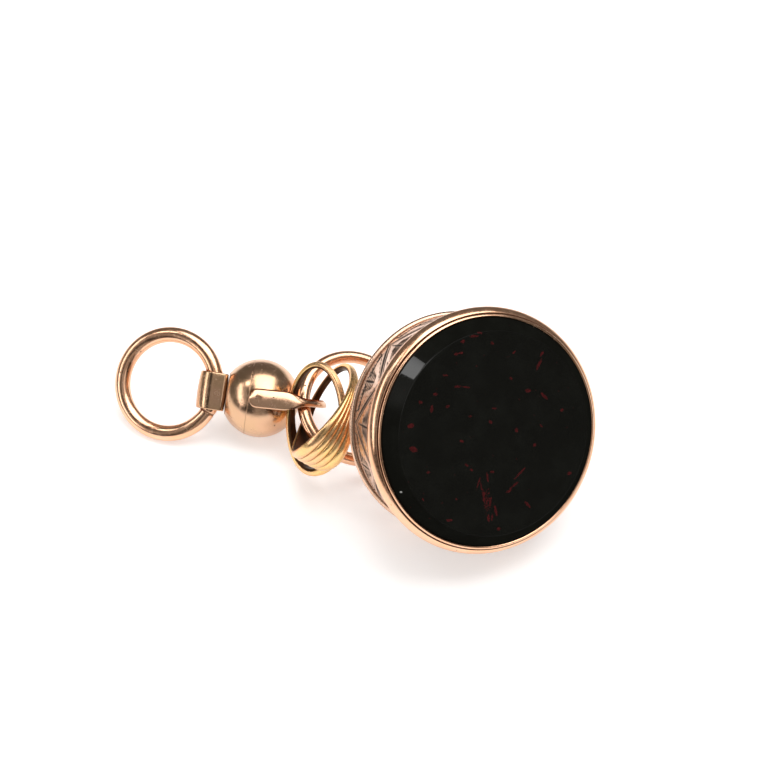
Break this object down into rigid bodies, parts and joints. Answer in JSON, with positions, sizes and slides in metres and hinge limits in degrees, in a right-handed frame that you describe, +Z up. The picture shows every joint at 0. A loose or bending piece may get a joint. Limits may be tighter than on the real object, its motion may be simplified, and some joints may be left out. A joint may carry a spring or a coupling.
{
  "type": "pocket watch fob",
  "caption": "Gold watch fob: a round bloodstone seal in an engraved mount, hung on fluted knot links, with a ball swivel and a ring for the watch.",
  "frame": {"origin": "centre of the bounding box, on the surface the fob lies on", "axes": "+X along the fob from the watch ring to the seal, +Z up from the surface, -Y towards the side the stone faces"},
  "size_m": [0.0444, 0.0258, 0.0213],
  "materials": {
    "rose_gold": "polished, worn",
    "yellow_gold": "polished, worn",
    "pale_gold": "polished, worn",
    "dark_lining": "tarnished",
    "bloodstone": "polished stone",
    "cement": "matt",
    "steel": "plain"
  },
  "bodies": {
    "seal": {"stone": "bloodstone", "stone_collar": "rose_gold", "bezel_lip": "rose_gold", "engraved_wall": "rose_gold", "backing_disc": "steel", "cement_bed": "cement", "shoulder_bead": "rose_gold", "back_dome": "rose_gold", "stem": "rose_gold", "stem_eye": "rose_gold"},
    "connecting_ring": {"connecting_ring": "rose_gold"},
    "second_knot": {"second_knot_cover": "yellow_gold", "second_knot_lining": "dark_lining"},
    "first_knot": {"first_knot_cover": "yellow_gold", "first_knot_lining": "dark_lining"},
    "bow": {"bow": "pale_gold", "cross_pin": "steel"},
    "ball": {"bow_cup": "pale_gold", "strap_cup": "pale_gold"},
    "swivel": {"swivel_post": "steel", "swivel_washer": "steel", "swivel_strap": "pale_gold"},
    "watch_ring": {"watch_ring": "rose_gold"}
  },
  "joints": [
    {"name": "eye_swing", "type": "hinge", "parent": "seal", "child": "connecting_ring", "pos_m": [0.00502, 0.00655, 0.00231], "axis": [0.4767, -0.6494, 0.5924], "range_deg": [-6, 11]},
    {"name": "ring_hang", "type": "hinge", "parent": "connecting_ring", "child": "second_knot", "pos_m": [-0.00388, 0.00253, 0.00453], "axis": [0.4558, -0.7779, -0.4324], "range_deg": [-12, 17]},
    {"name": "knot_twist", "type": "hinge", "parent": "second_knot", "child": "first_knot", "pos_m": [-0.00457, 0.00208, 0.00363], "axis": [-0.1073, -0.9937, 0.0316], "range_deg": [-4, 3]},
    {"name": "bow_hang", "type": "hinge", "parent": "first_knot", "child": "bow", "pos_m": [-0.00554, 0.00442, 0.00595], "axis": [0.1729, 0.5054, 0.8454], "range_deg": [-11, 4]},
    {"name": "bow_pivot", "type": "hinge", "parent": "bow", "child": "ball", "pos_m": [-0.00854, 0.00651, 0.00391], "axis": [0, -0.6428, 0.766], "range_deg": [-60, 60]},
    {"name": "ball_swivel", "type": "hinge", "parent": "ball", "child": "swivel", "pos_m": [-0.00854, 0.00651, 0.00391], "axis": [-0.9881, 0.118, 0.099], "continuous": true},
    {"name": "watch_ring_swing", "type": "hinge", "parent": "swivel", "child": "watch_ring", "pos_m": [-0.01272, 0.00701, 0.00433], "axis": [0.154, 0.7569, 0.6351], "range_deg": [-35, 70]}
  ]
}
